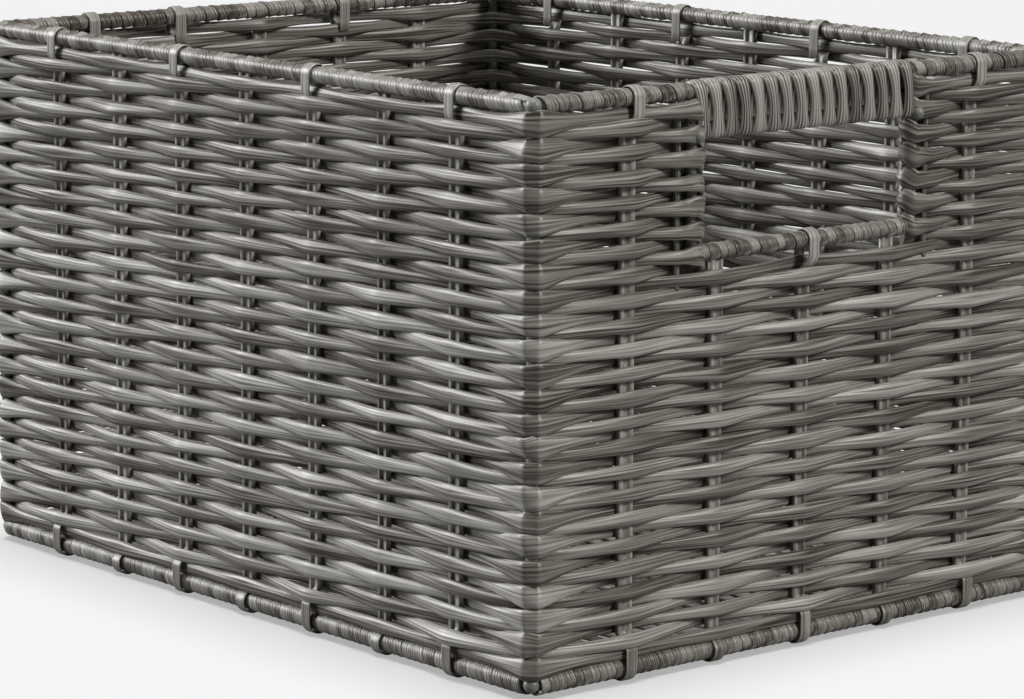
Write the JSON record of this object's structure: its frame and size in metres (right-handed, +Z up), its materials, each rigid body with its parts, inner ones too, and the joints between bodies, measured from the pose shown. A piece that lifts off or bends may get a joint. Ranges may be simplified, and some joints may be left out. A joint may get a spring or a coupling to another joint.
{
  "type": "storage basket",
  "caption": "Rectangular woven storage basket on a wire frame, open at the top, with a cut-out hand-hold and a wound grip in one end.",
  "frame": {"origin": "centre of the footprint, on the plane that the basket stands on", "axes": "+X along the long sides towards the right end, +Y towards the back, +Z up"},
  "size_m": [0.3234, 0.2534, 0.2033],
  "materials": {
    "frame_steel": "satin powder coat",
    "weave_strand": "satin, fine lengthwise grooves",
    "wrap_strip": "satin, fine lengthwise grooves",
    "grip_strand": "satin, fine lengthwise grooves",
    "stake_cord": "satin, fine lengthwise grooves"
  },
  "bodies": {
    "root": {"wire_hoop_front": "frame_steel", "wire_hoop_back": "frame_steel", "rim_rail_right": "frame_steel", "rim_rail_left": "frame_steel", "bottom_rail_right": "frame_steel", "bottom_rail_left": "frame_steel", "handle_frame": "frame_steel", "woven_wall_front": "weave_strand", "woven_wall_back": "weave_strand", "woven_wall_left": "weave_strand", "woven_wall_right_lower": "weave_strand", "woven_wall_right_front": "weave_strand", "woven_wall_right_back": "weave_strand", "woven_base": "weave_strand", "rim_wrap_front": "wrap_strip", "rim_wrap_back": "wrap_strip", "rim_wrap_left": "wrap_strip", "rim_wrap_right_front": "wrap_strip", "rim_wrap_right_back": "wrap_strip", "bottom_wrap_front": "wrap_strip", "bottom_wrap_back": "wrap_strip", "bottom_wrap_right": "wrap_strip", "bottom_wrap_left": "wrap_strip", "handle_wrap": "wrap_strip", "grip_winding": "grip_strand", "stake_front_1": "stake_cord", "stake_front_2": "stake_cord", "stake_front_3": "stake_cord", "stake_front_4": "stake_cord", "stake_front_5": "stake_cord", "stake_front_6": "stake_cord", "stake_front_7": "stake_cord", "stake_back_1": "stake_cord", "stake_back_2": "stake_cord", "stake_back_3": "stake_cord", "stake_back_4": "stake_cord", "stake_back_5": "stake_cord", "stake_back_6": "stake_cord", "stake_back_7": "stake_cord", "stake_right_1": "stake_cord", "stake_right_2": "stake_cord", "stake_right_3": "stake_cord", "stake_right_4": "stake_cord", "stake_right_5": "stake_cord", "stake_left_1": "stake_cord", "stake_left_2": "stake_cord", "stake_left_3": "stake_cord", "stake_left_4": "stake_cord", "stake_left_5": "stake_cord", "base_cord_1": "stake_cord", "base_cord_2": "stake_cord", "base_cord_3": "stake_cord", "base_cord_4": "stake_cord", "base_cord_5": "stake_cord"}
  },
  "joints": []
}
